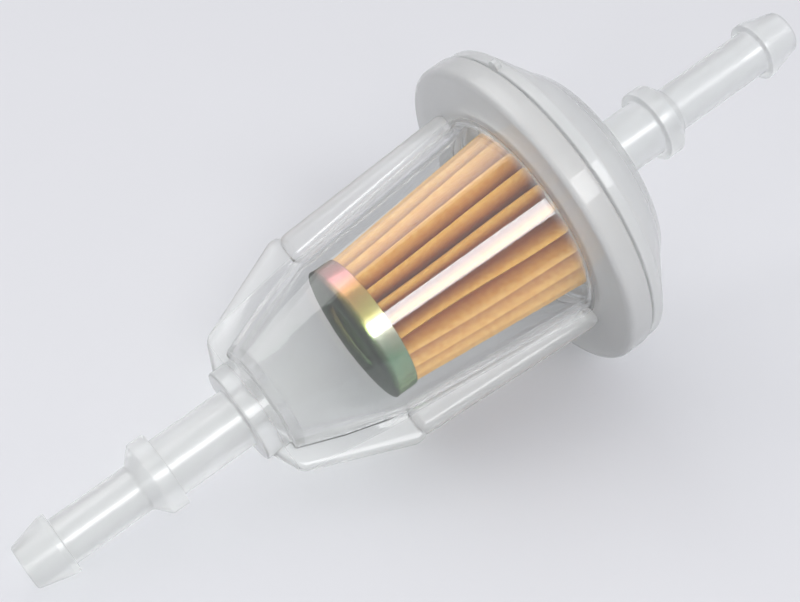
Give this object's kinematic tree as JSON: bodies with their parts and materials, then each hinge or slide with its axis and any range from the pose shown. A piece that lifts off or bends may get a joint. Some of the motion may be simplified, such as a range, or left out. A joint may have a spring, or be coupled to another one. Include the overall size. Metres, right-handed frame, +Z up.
{
  "type": "in-line fuel filter",
  "caption": "Small-engine in-line fuel filter: clear plastic housing with stepped hose nozzles round a pleated paper element with a metal end cap.",
  "frame": {"origin": "bottom centre of the bounding box, on the table the filter lies on", "axes": "+X towards the outlet nozzle and horizontal, +Z up; the filter's own axis lies in the XZ plane and rises 14.26 degrees towards the outlet"},
  "size_m": [0.1204, 0.0452, 0.0449],
  "materials": {
    "clear_shell": "clear, slightly milky moulded plastic",
    "frosted_cover": "milky moulded plastic",
    "weld_bead": "remelted plastic",
    "filter_paper": "resin-treated amber filter paper, dull",
    "paper_seam_adhesive": "hot-melt adhesive",
    "metal_end_cap": "pressed steel, yellow-zinc plated, glossy",
    "end_cap_adhesive": "cured adhesive",
    "outlet_end_adhesive": "cured adhesive",
    "outlet_end_ring": "milky moulded plastic"
  },
  "bodies": {
    "root": {"inlet_housing": "clear_shell", "outlet_cover": "frosted_cover", "weld_bead": "weld_bead", "pleated_paper": "filter_paper", "paper_seam_adhesive": "paper_seam_adhesive", "metal_end_cap": "metal_end_cap", "end_cap_adhesive": "end_cap_adhesive", "outlet_end_adhesive": "outlet_end_adhesive", "outlet_end_ring": "outlet_end_ring"}
  },
  "joints": []
}
